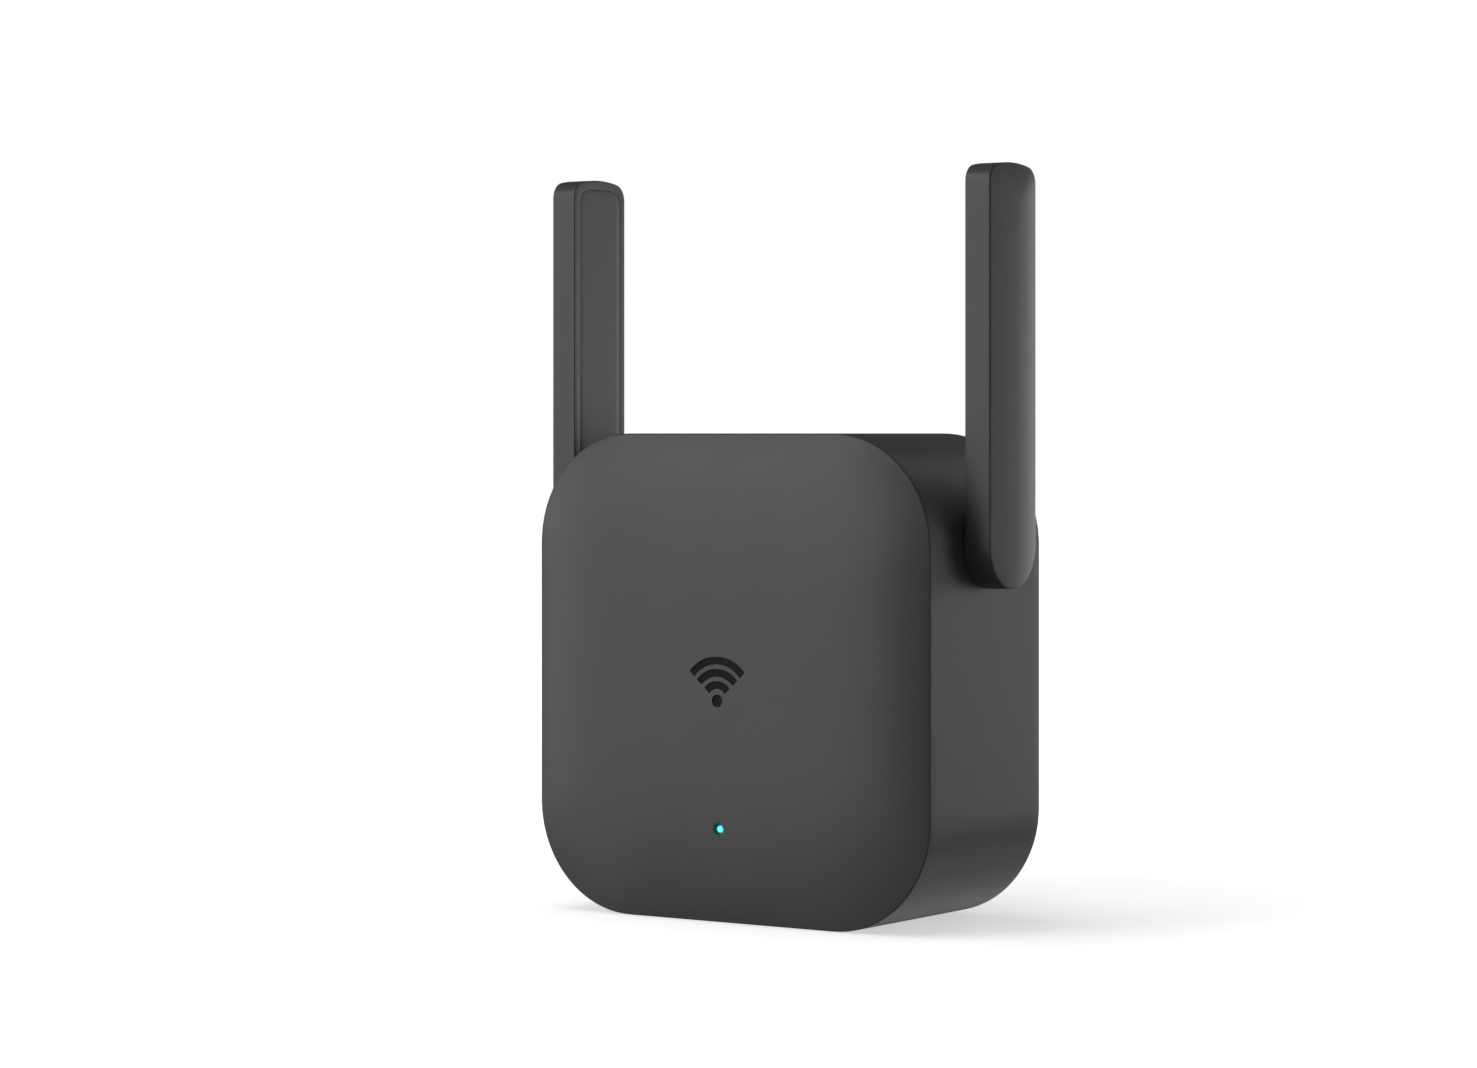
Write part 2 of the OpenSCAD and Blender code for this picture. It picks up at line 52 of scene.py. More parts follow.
BODY_W, BODY_H, BODY_D, CORNER = 69.8, 72.5, 31.2, 16.6
# The crown's height and power, and its reach from the middle, which gives the slope at the rim.
CROWN, CROWN_POWER, CROWN_REACH = 3.2, 4.6, 35.0
FRONT_Y = -29.95
RIM_Y = FRONT_Y + CROWN
BACK_Y = RIM_Y + BODY_D
BOSS_Y = BACK_Y + 6.5
TIP_Y = BOSS_Y + 19.0
COVER_Y = BACK_Y - 2.0
MID_Z = BODY_H / 2
SIDE_X = BODY_W / 2
WALL = 2.0
# How far the outer edges are rounded.
EDGE = 0.22
LAMP_Z, LAMP_R, ROD_R = 14.1, 0.85, 0.8
# The sign's dot, from the middle of the face, and how deep the sign is sunk.
SIGN_Z, SIGN_DEPTH = -3.2, 0.5
PLUG_Z = 36.2
PIN_X, PIN_R, SLEEVE_R = 9.5, 2.0, 1.8
PIVOT_Y, PIVOT_Z = RIM_Y + BODY_D / 2, 56.4
ARM_X, ARM_T, ARM_CROWN, ARM_R, ARM_TOP = SIDE_X + 0.35, 4.2, 0.6, 6.625, 112.0
ARM_ARCH, ARM_CORNER = 25.0, 2.5
ARM_EDGE = ARM_X + ARM_T
# Where the seam's two sides lie, in from the arm's outline.
SEAM_OUT, SEAM_IN = 1.42, 1.45
RESET_X, RESET_Y, RESET_R = -12.0, RIM_Y + 10.25, 0.9
LABEL_Z, TOP_VENT_Z = 20.0, 58.0


# ---- Meshes ----


class Mesh:
    """Vertices and faces gathered from whole arrays. Each add returns the new indices."""

    def __init__(self):
        self.points, self.faces, self.count = [], [], 0

    def add(self, points):
        points = np.asarray(points, float)
        index = np.arange(points[..., 0].size).reshape(points.shape[:-1]) + self.count
        self.points.append(points.reshape(-1, 3))
        self.count += index.size
        return index

    def quads(self, a, b, c, d):
        self.faces.append(np.stack([a, b, c, d], -1).reshape(-1, 4))

    def sheet(self, index, keep=None):
        """Quads over a grid of indices, leaving out the cells where keep is False."""
        cells = [index[:-1, :-1], index[1:, :-1], index[1:, 1:], index[:-1, 1:]]
        if keep is not None:
            cells = [c[keep] for c in cells]
        self.quads(*cells)

    def tube(self, rings):
        """Quads between each ring of indices and the next, every ring a closed loop."""
        for a, b in zip(rings[:-1], rings[1:]):
            self.quads(a, b, np.roll(b, -1), np.roll(a, -1))

    def cap(self, ring):
        self.faces.append(np.asarray(ring)[None, :])

    def build(self, name, material, body="housing", sharp=32.0, stands_for=(), flip=False):
        """Makes the object, in metres, smooth but for edges sharper than that many degrees."""
        points = np.concatenate(self.points) * MM
        faces = [row[::-1] if flip else row for block in self.faces for row in block.tolist()]
        data = bpy.data.meshes.new(name)
        data.from_pydata(points.tolist(), [], faces)
        data.validate()
        data.polygons.foreach_set("use_smooth", np.ones(len(data.polygons), bool))
        data.set_sharp_from_angle(angle=math.radians(sharp))
        obj = bpy.data.objects.new(name, data)
        bpy.context.scene.collection.objects.link(obj)
        data.materials.append(material)
        if body:
            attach(obj, body)
            if stands_for:
                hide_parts(*stands_for)
        return obj


def fillet(corner, start, end, steps=6):
    """Points of the curve (1-t)^2 start + 2t(1-t) corner + t^2 end, for t from 0 to 1."""
    t = np.linspace(0, 1, steps + 1)[:, None]
    corner, start, end = (np.asarray(p, float) for p in (corner, start, end))
    return (1 - t) ** 2 * start + 2 * t * (1 - t) * corner + t**2 * end


def rounded_path(points, radius):
    """The polyline through the points, each inner corner replaced by a fillet of that radius."""
    points = [np.asarray(p, float) for p in points]
    out = [points[0][None]]
    for before, here, after in zip(points[:-2], points[1:-1], points[2:]):
        back, ahead = before - here, after - here
        reach = min(radius, 0.45 * np.linalg.norm(back), 0.45 * np.linalg.norm(ahead))
        start = here + back / np.linalg.norm(back) * reach
        end = here + ahead / np.linalg.norm(ahead) * reach
        out.append(fillet(here, start, end, 4))
    out.append(points[-1][None])
    return np.concatenate(out)


def gauge(x, z):
    """The share s at which (x, z) lies on the body's outline scaled by s about the middle.

    On a flat side s = max(|x|/a, |z|/b). In a corner 1/s = t solves
    (|x|t - A)^2 + (|z|t - B)^2 = r^2, where A and B are the corner's centre.
    """
    x, z = np.abs(x), np.abs(z)
    flat = np.maximum(x / SIDE_X, z / MID_Z)
    ca, cb = SIDE_X - CORNER, MID_Z - CORNER
    square = np.maximum(x * x + z * z, 1e-12)
    along = ca * x + cb * z
    root = np.sqrt(np.maximum(along**2 - square * (ca**2 + cb**2 - CORNER**2), 0))
    t = (along + root) / square
    corner = (x * t > ca) & (z * t > cb)
    return np.where(corner, 1 / np.maximum(t, 1e-9), flat)


def outward(x, z):
    """Unit vectors pointing out of the body's outline at points (x, z) on it."""
    nx = np.maximum(np.abs(x) - (SIDE_X - CORNER), 0) * np.sign(x)
    nz = np.maximum(np.abs(z) - (MID_Z - CORNER), 0) * np.sign(z)
    size = np.maximum(np.hypot(nx, nz), 1e-9)
    return nx / size, nz / size


def face_y(x, z):
    """The crowned front: rim - crown * (1 - s^power)."""
    return RIM_Y - CROWN * (1 - gauge(x, z) ** CROWN_POWER)


def upright(p, y):
    """Points (x, z from the middle) stood up at depth y, as (x, y, z)."""
    return np.stack([p[..., 0], np.broadcast_to(y, p.shape[:-1]), p[..., 1] + MID_Z], -1)


def outline_rings(mesh, edge):
    """Returns around(inset, y): a new ring, the outline moved in by inset, at depth y."""
    normal = np.stack(outward(edge[:, 0], edge[:, 1]), -1)

    def around(inset, y):
        return mesh.add(upright(edge - normal * inset, y))

    return around


def lines(low, high, step, *exact, fine=()):
    """Grid lines from low to high about step apart, with every exact line kept.

    Each (from, to, step) in fine adds closer lines. Lines too near an exact one are dropped.
    """
    exact = np.unique(np.round(np.concatenate([[low, high], *map(np.atleast_1d, exact)]), 5))
    spare = np.linspace(low, high, int(round((high - low) / step)) + 1)
    for a, b, s in fine:
        clear = (spare < a - 0.4 * step) | (spare > b + 0.4 * step)
        closer = np.linspace(a, b, int(round((b - a) / s)) + 1)
        spare = np.concatenate([spare[clear], closer])
    spare = np.unique(spare)
    gap = np.min(np.abs(spare[:, None] - exact[None, :]), 1)
    least = 0.35 * min([step] + [s for *_, s in fine])
    return np.unique(np.concatenate([exact, spare[gap > least]]))


def rim_loop(index, i0, i1, j0, j1):
    """Indices round the edge of a block of a grid, in one closed loop."""
    return np.concatenate([
        index[i0:i1, j0], index[i1, j0:j1], index[i1:i0:-1, j1], index[i0, j1:j0:-1]])


def near(values, x):
    return int(np.argmin(np.abs(values - x)))


def onto(points, centre, core, radius):
    """Points moved onto a round-ended slot: c + radius (p - c)/|p - c|, c = p kept in core."""
    p = points - np.asarray(centre)
    c = np.clip(p, -np.asarray(core), np.asarray(core))
    d = p - c
    size = np.maximum(np.linalg.norm(d, axis=-1, keepdims=True), 1e-9)
    return np.asarray(centre) + c + radius * d / size


# ---- Finishes ----


class Finish:
    """A procedural material built node by node. Lengths given to it are millimetres."""

    def __init__(self, name, colour, roughness, **sockets):
        self.material = bpy.data.materials.new(name)
        self.material.use_nodes = True
        self.tree = self.material.node_tree
        self.shader = self.tree.nodes["Principled BSDF"]
        self.place = self.node("ShaderNodeTexCoord").outputs["Object"]
        self.colour, self.roughness = colour, roughness
        self.normal = None
        self.set(self.shader, **{"Base Color": (*colour, 1), "Roughness": roughness, **sockets})

    def node(self, kind, **settings):
        made = self.tree.nodes.new(kind)
        for key, value in settings.items():
            setattr(made, key, value)
        return made

    def put(self, socket, value):
        """Links the socket to another node's output, or gives it a plain value."""
        if isinstance(value, bpy.types.NodeSocket):
            self.tree.links.new(value, socket)
        else:
            socket.default_value = value

    def set(self, node, **values):
        """Fills inputs by name."""
        for key, value in values.items():
            self.put(node.inputs[key], value)

    def feed(self, node, *values, at=(0, 1, 2)):
        """Fills inputs by number and returns the first output."""
        for k, value in zip(at, values):
            self.put(node.inputs[k], value)
        return node.outputs[0]

    def noise(self, size, detail=4.0, rough=0.5, stretch=None):
        """Noise whose features are about that many millimetres across."""
        place = self.place
        if stretch:
            mapping = self.node("ShaderNodeMapping")
            self.set(mapping, Vector=place, Scale=stretch)
            place = mapping.outputs["Vector"]
        noise = self.node("ShaderNodeTexNoise")
        self.set(noise, Vector=place, Scale=1 / (size * MM), Detail=detail, Roughness=rough)
        return noise.outputs["Fac"]

    def ramp(self, value, low, high, to_low=0.0, to_high=1.0):
        """A straight line from (low, to_low) to (high, to_high), level beyond them."""
        made = self.node("ShaderNodeMapRange")
        self.set(made, Value=value, **{"From Min": low, "From Max": high,
                                       "To Min": to_low, "To Max": to_high})
        return made.outputs["Result"]

    def mix(self, share, a, b):
        """Colour a where share is 0 and b where it is 1."""
        made = self.node("ShaderNodeMix", data_type="RGBA")
        self.feed(made, share, a, b, at=(0, 6, 7))
        return made.outputs[2]

    def distance(self, spread, centre):
        """How far a point is from centre, in metres: |place * spread - centre|."""
        offset = self.node("ShaderNodeVectorMath", operation="MULTIPLY_ADD")
        here = self.feed(offset, self.place, spread, [-c for c in centre])
        size = self.node("ShaderNodeVectorMath", operation="LENGTH")
        self.feed(size, here)
        return size.outputs["Value"]

    def tint(self, share, spread):
        """Mottles the colour between (1 - spread) and (1 + spread) of itself."""
        low = (*[c * (1 - spread) for c in self.colour], 1)
        high = (*[min(c * (1 + spread), 1) for c in self.colour], 1)
        self.set(self.shader, **{"Base Color": self.mix(share, low, high)})
        return self

    def rough(self, share, spread):
        """Varies the roughness by spread either way."""
        low, high = self.roughness - spread, self.roughness + spread
        self.set(self.shader, Roughness=self.ramp(share, 0.3, 0.7, low, high))
        return self

    def bump(self, height, depth, strength=1.0):
        """Adds relief of that depth in millimetres where height is 1."""
        made = self.node("ShaderNodeBump")
        self.set(made, Height=height, Distance=depth * MM, Strength=strength)
        if self.normal is not None:
            self.set(made, Normal=self.normal)
        self.normal = made.outputs["Normal"]
        self.set(self.shader, Normal=self.normal)
        return self


def moulded(name, colour, roughness, grain=0.16, relief=0.006, **sockets):
    """Moulded plastic: spark-eroded grain, faint flow marks and handling smudges."""
    f = Finish(name, colour, roughness, **sockets)
    f.tint(f.ramp(f.noise(9, 3), 0.35, 0.65), 0.015)
    f.rough(f.noise(5, 5, 0.6), 0.012)
    f.bump(f.noise(grain, 3, 0.6), relief, 0.5)
    f.bump(f.noise(14, 2), 0.02, 0.06)
    return f.material


def smooth_plastic(name, colour, roughness):
    """Glossy plastic: a little uneven in colour and sheen, with a faint ripple."""
    f = Finish(name, colour, roughness)
    f.tint(f.ramp(f.noise(2, 3), 0.35, 0.65), 0.06)
    f.rough(f.noise(1.2, 4), 0.06)
    f.bump(f.noise(0.6, 3), 0.008, 0.4)
    return f.material


def metal(name, colour, roughness):
    """Drawn or plated metal: fine streaks along the part and slight tarnish."""
    f = Finish(name, colour, roughness, Metallic=1.0)
    streak = (1, 0.06, 1)
    f.tint(f.ramp(f.noise(3, 4), 0.35, 0.7), 0.07)
    f.rough(f.noise(0.25, 4, 0.6, streak), 0.05)
    f.bump(f.noise(0.12, 3, 0.5, streak), 0.001, 0.4)
    return f.material


def circuit_board(name, colour):
    """Solder mask over glass cloth: fine relief, copper areas a little raised and lighter."""
    f = Finish(name, colour, 0.32, **{"Coat Weight": 0.25})
    cells = f.node("ShaderNodeTexVoronoi", feature="F1", distance="MANHATTAN")
    f.set(cells, Vector=f.place, Scale=1 / (3.2 * MM))
    tracks = f.ramp(cells.outputs["Distance"], 0.35, 0.42)
    f.tint(tracks, 0.28)
    f.rough(f.noise(1.5, 3), 0.05)
    f.bump(tracks, 0.03, 0.6)
    f.bump(f.noise(0.3, 2), 0.006, 0.4)
    return f.material


def windings(name, colour):
    """Tape over wire: bands that run round the winding."""
    f = Finish(name, colour, 0.28)
    wave = f.node("ShaderNodeTexWave", wave_type="BANDS", bands_direction="X")
    f.set(wave, Vector=f.place, Scale=320.0, Distortion=0.6, Detail=2.0)
    f.tint(wave.outputs["Fac"], 0.12)
    f.rough(f.noise(1, 3), 0.06)
    f.bump(wave.outputs["Fac"], 0.05, 0.5)
    return f.material


shell = moulded("shell", (0.085, 0.085, 0.087), 0.42)
sunk = moulded("sunk_sign", (0.02, 0.02, 0.021), 0.6, 0.1, 0.003, **{"Specular IOR Level": 0.1})

# The lamp glows evenly across its tip and hardly at all beyond it.
lamp = Finish("lamp", (0.03, 0.2, 0.19), 0.25)
from_axis = lamp.distance((1, 0, 1), (0, 0, LAMP_Z * MM))
core = lamp.ramp(from_axis, 0.48 * MM, 0.56 * MM, 1.0, 0.06)
flicker = lamp.ramp(lamp.noise(0.5, 2), 0.3, 0.7, 0.9, 1.1)
glow = lamp.feed(lamp.node("ShaderNodeMath", operation="MULTIPLY"), core, flicker)
lamp.set(lamp.shader, **{"Emission Color": (0.11, 0.95, 0.88, 1), "Emission Strength": glow})
lamp.rough(lamp.noise(0.4), 0.05)

label = Finish("label", (0.16, 0.16, 0.165), 0.4)
label.tint(label.noise(4), 0.05).rough(label.noise(2), 0.06).bump(label.noise(0.3), 0.004)

finishes = {
    "shell": shell,
    "inlay": sunk,
    "lamp": lamp.material,
    "label": label.material,
    "board": circuit_board("board", (0.02, 0.16, 0.07)),
    "chip": smooth_plastic("chip", (0.02, 0.02, 0.022), 0.42),
    "tin": metal("tin", (0.66, 0.66, 0.65), 0.3),
    "nickel": metal("nickel", (0.74, 0.72, 0.68), 0.2),
    "copper": metal("copper", (0.72, 0.38, 0.2), 0.28),
    "gold_contact": metal("gold_contact", (0.8, 0.6, 0.28), 0.22),
    "black_plastic": smooth_plastic("black_plastic", (0.022, 0.022, 0.023), 0.36),
    "ferrite": moulded("ferrite", (0.05, 0.05, 0.052), 0.45, 0.3, 0.01),
    "tape": windings("tape", (0.8, 0.6, 0.08)),
    "wire_red": smooth_plastic("wire_red", (0.5, 0.03, 0.02), 0.35),
    "can_sleeve": smooth_plastic("can_sleeve", (0.03, 0.04, 0.12), 0.25),
    "disc_blue": smooth_plastic("disc_blue", (0.04, 0.14, 0.4), 0.35),
    "white_part": smooth_plastic("white_part", (0.7, 0.69, 0.65), 0.4),
    "sheet": smooth_plastic("sheet", (0.6, 0.6, 0.56), 0.3),
}
slots = {row["node"]: row["material_slot"] for row in frame["record"]["subparts"]}
for name, obj in frame["nodes"].items():
    obj.data.materials.clear()
    obj.data.materials.append(finishes[slots[name]])
    obj.data.polygons.foreach_set("use_smooth", np.ones(len(obj.data.polygons), bool))
    obj.data.set_sharp_from_angle(angle=math.radians(30))


# ---- Front housing ----


def sign_distance(x, z):
    """Distance to three arcs over a dot at (0, SIGN_Z), less than 0 inside.

    An arc is ||p| - radius| - half its width, cut off beside the lines at half the spread.
    """
    dot, half_width, spread = 0.8, 0.45, math.radians(96)
    z = z - SIGN_Z
    r = np.hypot(x, z)
    beside = np.abs(x) * math.cos(spread / 2) - z * math.sin(spread / 2)
    arcs = np.min([np.abs(r - k) - half_width for k in (2.35, 4.15, 5.95)], 0)
    return np.minimum(r - dot, np.maximum(arcs, beside))


def slot_hole(mesh, outer, inner, flat, place, centre, core, radius, depth, mouth=0.15):
    """A slot through a wall: the loop of grid points outside, a filleted mouth, its walls,
    then the same loop inside, or a flat bottom if there is no inner loop.

    flat holds the outer loop's points in the wall's own plane, and place(points, depth) puts
    such points at that depth below the wall's face.
    """
    path = np.concatenate([
        fillet((radius, 0), (radius + mouth, 0), (radius, mouth), 4), [(radius, depth)]])
    rings = [outer] + [mesh.add(place(onto(flat, centre, core, r), d)) for r, d in path]
    if inner is None:
        mesh.cap(rings[-1])
    else:
        rings.append(inner)
    mesh.tube(rings[::-1])


def front_housing():
    """A block of the crowned front in x and z, carried out along rays to the rounded outline,
    round the rim, back along the sides, over the rear rim and forward again inside.

    Each hole takes the place of a patch of the grid, so the grid has lines on the patch's edges.
    """
    mesh = Mesh()
    half_x, half_z, coarse, fine = 20.0, 27.0, 1.1, 0.1
    lamp_patch, pin_patch = 1.5, 1.35
    slot_x, slot_y, slot_r, slot_patch_x, slot_patch_y = 0.2, 4.6, 0.4, 0.9, 5.4
    slots_y = COVER_Y - 9.0
    scale = MID_Z / half_z
    vents = [3.0 * i for i in range(-4, 5)]
    vent_lines = np.add.outer(vents, slot_patch_x * np.arange(-3, 4) / 3).ravel()
    pin_lines = RESET_X + np.array([-pin_patch, pin_patch])
    xs = lines(-half_x, half_x, coarse, vent_lines / scale, pin_lines / scale,
               [-lamp_patch, lamp_patch], fine=[(-5.4, 5.4, fine)])
    lamp_z = LAMP_Z - MID_Z
    zs = lines(-half_z, half_z, coarse, lamp_z + np.linspace(-lamp_patch, lamp_patch, 11),
               fine=[(-4.7, 4.0, fine)])
    x, z = np.meshgrid(xs, zs, indexing="ij")
    flat = np.stack([x, z], -1)
    sunk_share = np.clip(0.5 - (sign_distance(x, z) - 0.05) / 0.09, 0, 1)
    block = mesh.add(upright(flat, face_y(x, z) + SIGN_DEPTH * sunk_share))
    flat = flat.reshape(-1, 2)
    keep = np.ones((len(xs) - 1, len(zs) - 1), bool)
    hole = (near(xs, -lamp_patch), near(xs, lamp_patch),
            near(zs, lamp_z - lamp_patch), near(zs, lamp_z + lamp_patch))
    keep[hole[0]:hole[1], hole[2]:hole[3]] = False
    mesh.sheet(block, keep)

    def lamp_wall(p, depth):
        return upright(p, face_y(p[:, 0], p[:, 1]) + depth)

    loop = rim_loop(block, *hole)
    slot_hole(mesh, loop, None, flat[loop], lamp_wall, (0, lamp_z), (0, 0), LAMP_R, 1.7, 0.12)

    # The rays from the block's edge to the outline, closer together towards the rim.
    ring = rim_loop(block, 0, len(xs) - 1, 0, len(zs) - 1)
    s = gauge(*flat[ring].T)[:, None]
    edge = flat[ring] / s
    around = outline_rings(mesh, edge)
    rings = [ring]
    near_rim = 1 - EDGE / CROWN_REACH
    for w in 1 - (1 - np.linspace(0, 1, 18)[1:]) ** 1.5:
        p = edge * (s + (near_rim - s) * w)
        rings.append(mesh.add(upright(p, face_y(*p.T))))
    slope = CROWN * CROWN_POWER / CROWN_REACH * near_rim ** (CROWN_POWER - 1)
    start_y = RIM_Y - CROWN * (1 - near_rim**CROWN_POWER)
    corner_y = start_y + slope * EDGE
    rim = fillet((0, corner_y), (EDGE, start_y), (0, corner_y + EDGE), 8)
    rings += [around(*p) for p in rim[1:]]
    mesh.tube(rings)

    # The sides, with the air slots and the pinhole through the underside.
    rows = lines(corner_y + EDGE, BACK_Y - EDGE, 2.2,
                 np.linspace(RESET_Y - pin_patch, RESET_Y + pin_patch, 7),
                 np.linspace(slots_y - slot_patch_y, slots_y + slot_patch_y, 10))
    inner_rows = np.concatenate([rows[(rows > RIM_Y + 2.5) & (rows < COVER_Y - 0.5)], [COVER_Y]])
    side = np.stack([rings[-1]] + [around(0, r) for r in rows[1:]])
    inside = np.stack([around(WALL, r) for r in inner_rows])
    keep_out = np.ones((len(rows) - 1, len(edge)), bool)
    keep_in = np.ones((len(inner_rows) - 1, len(edge)), bool)
    under = edge[:, 1] < -MID_Z + 1e-6
    across = np.where(under, edge[:, 0], 1e6)

    def floor_wall(p, depth):
        return np.stack([p[:, 0], p[:, 1], np.full(len(p), depth)], -1)

    holes = [(v, slots_y, slot_patch_x, slot_patch_y, (slot_x, slot_y), slot_r) for v in vents]
    holes.append((RESET_X, RESET_Y, pin_patch, pin_patch, (0, 0), RESET_R))
    for hx, hy, reach_x, reach_y, core, radius in holes:
        c = sorted([near(across, hx - reach_x), near(across, hx + reach_x)])
        loops = []
        for grid, levels, keep in ((side, rows, keep_out), (inside, inner_rows, keep_in)):
            r = near(levels, hy - reach_y), near(levels, hy + reach_y)
            keep[r[0]:r[1], c[0]:c[1]] = False
            loops.append(rim_loop(grid, r[0], r[1], c[0], c[1]))
        seen_below = np.concatenate(mesh.points)[loops[0], :2]
        slot_hole(mesh, *loops, seen_below, floor_wall, (hx, hy), core, radius, WALL - 0.2)
    for grid, keep, inwards in ((side, keep_out, False), (inside, keep_in, True)):
        a, b = grid[:-1], grid[1:]
        parts = [p[keep] for p in (a, b, np.roll(b, -1, 1), np.roll(a, -1, 1))]
        mesh.quads(*(parts[::-1] if inwards else parts))

    # Over the rear rim, down its lip and onto the inner wall.
    lip, lip_edge = 1.2, 0.15
    path = np.concatenate([
        fillet((0, BACK_Y), (0, BACK_Y - EDGE), (EDGE, BACK_Y), 5)[1:],
        fillet((lip, BACK_Y), (lip - lip_edge, BACK_Y), (lip, BACK_Y - lip_edge), 3),
        [(lip, COVER_Y)]])
    mesh.tube([side[-1]] + [around(*p) for p in path] + [inside[-1]])
    front = np.concatenate([
        fillet((WALL, RIM_Y + 0.6), (WALL, RIM_Y + 1.6), (WALL + 1.2, RIM_Y + 0.2), 4),
        [(8, RIM_Y - 0.6)]])
    inner = [inside[0]] + [around(*p) for p in front]
    mesh.tube(inner)
    mesh.cap(inner[-1][::-1])
    mesh.build("housing_skin", shell, stands_for=["front_housing"])


# ---- Rear cover ----


def rear_cover():
    """A flat plate from the same rays, with slots through it and a shallow label seat."""
    mesh = Mesh()
    half_x, half_z, coarse, inset = 24.0, 28.0, 2.0, 1.32
    vent_z, label_z = TOP_VENT_Z - MID_Z, LABEL_Z - MID_Z
    vent_patch_x, vent_patch_z, label_patch_x, label_patch_z = 1.0, 5.4, 22.6, 6.6
    vents = [2.8 * i for i in range(-6, 7)]
    xs = lines(-half_x, half_x, coarse, [-label_patch_x, label_patch_x],
               np.add.outer(vents, vent_patch_x * np.linspace(-1, 1, 6)).ravel())
    zs = lines(-half_z, half_z, coarse, vent_z + np.linspace(-vent_patch_z, vent_patch_z, 10),
               label_z + np.array([-label_patch_z, label_patch_z]))
    flat = np.stack(np.meshgrid(xs, zs, indexing="ij"), -1)
    outer, inner = [mesh.add(upright(flat, level)) for level in (BACK_Y, COVER_Y)]
    flat = flat.reshape(-1, 2)
    keep = np.ones((len(xs) - 1, len(zs) - 1), bool)

    def plate_wall(p, depth):
        return upright(p, BACK_Y - depth)

    def patch(x, z, reach_x, reach_z):
        """Clears the grid about (x, z), and returns the patch's loop in each face."""
        b = (near(xs, x - reach_x), near(xs, x + reach_x),
             near(zs, z - reach_z), near(zs, z + reach_z))
        keep[b[0]:b[1], b[2]:b[3]] = False
        return rim_loop(outer, *b)[::-1], rim_loop(inner, *b)[::-1]

    for v in vents:
        loops = patch(v, vent_z, vent_patch_x, vent_patch_z)
        slot_hole(mesh, *loops, flat[loops[0]], plate_wall, (v, vent_z), (0.05, 4.45), 0.6, 1.9)
    keep_in = keep.copy()
    loop, _ = patch(0, label_z, label_patch_x, label_patch_z)
    slot_hole(mesh, loop, None, flat[loop], plate_wall, (0, label_z), (21.2, 5.2), 1.0, 0.25,
              0.08)
    mesh.sheet(outer[::-1], keep[::-1])
    mesh.sheet(inner, keep_in)

    whole = (0, len(xs) - 1, 0, len(zs) - 1)
    ring = rim_loop(outer, *whole)
    around = outline_rings(mesh, flat[ring] / gauge(*flat[ring].T)[:, None])
    path = [(inset + 0.9, BACK_Y)] + list(
        fillet((inset, BACK_Y), (inset + 0.25, BACK_Y), (inset, BACK_Y - 0.25), 4))
    path += [(inset, COVER_Y)]
    rings = [ring] + [around(*p) for p in path] + [rim_loop(inner, *whole)]
    mesh.tube(rings[::-1])
    mesh.build("rear_plate", shell, stands_for=["rear_cover"])


def loft_loop(half_w, half_h, cut, radius):
    """A flat bar's outline with both ends cut to a blunt point, its corners rounded."""
    corners = np.array([
        (half_w, -half_h + cut), (half_w, half_h - cut), (half_w - cut, half_h),
        (cut - half_w, half_h), (-half_w, half_h - cut), (-half_w, cut - half_h),
        (cut - half_w, -half_h), (half_w - cut, -half_h)])
    out = []
    for k, here in enumerate(corners):
        back, ahead = corners[k - 1] - here, corners[(k + 1) % 8] - here
        reach = min(radius, 0.45 * np.linalg.norm(back), 0.45 * np.linalg.norm(ahead))
        out.append(fillet(here, here + back / np.linalg.norm(back) * reach,
                          here + ahead / np.linalg.norm(ahead) * reach, 7))
    return np.concatenate(out)


def plug_base():
    """Rings of the blunt-ended bar: a flared foot, its walls, a filleted top and a flat end."""
    mesh = Mesh()
    path = np.concatenate([
        [(1.2, BACK_Y - 0.3)],
        fillet((0, BACK_Y), (0.7, BACK_Y), (0, BACK_Y + 0.7), 5),
        fillet((0, BOSS_Y), (0, BOSS_Y - 0.8), (-0.8, BOSS_Y), 6), [(-1.6, BOSS_Y)]])
    half_w, half_h, cut, round_off = 17.65, 6.85, 4.6, 1.8
    rings = []
    for grow, at_y in path:
        p = loft_loop(half_w + grow, half_h + grow, cut, round_off) + [0, PLUG_Z - MID_Z]
        rings.append(mesh.add(upright(p, at_y)))
    mesh.tube(rings[::-1])
    mesh.cap(rings[-1])
    mesh.cap(rings[0][::-1])
    mesh.build("plug_base", shell, stands_for=["rear_cover"], flip=True)


def turned(profile, count, centre, axis):
    """Rings of a profile (radius, along) turned about an axis through centre.

    axis 0 turns about X, with centre (y, z), and axis 1 about Y, with centre (x, z).
    Returns the mesh and its rings.
    """
    mesh = Mesh()
    angle = np.linspace(0, 2 * math.pi, count, endpoint=False)
    rings = []
    for radius, along in profile:
        a, b = radius * np.cos(angle), radius * np.sin(angle)
        here = np.full(count, along)
        parts = [here, centre[0] + a, centre[1] + b] if axis == 0 else [
            centre[0] + b, here, centre[1] + a]
        rings.append(mesh.add(np.stack(parts, -1)))
    return mesh, rings


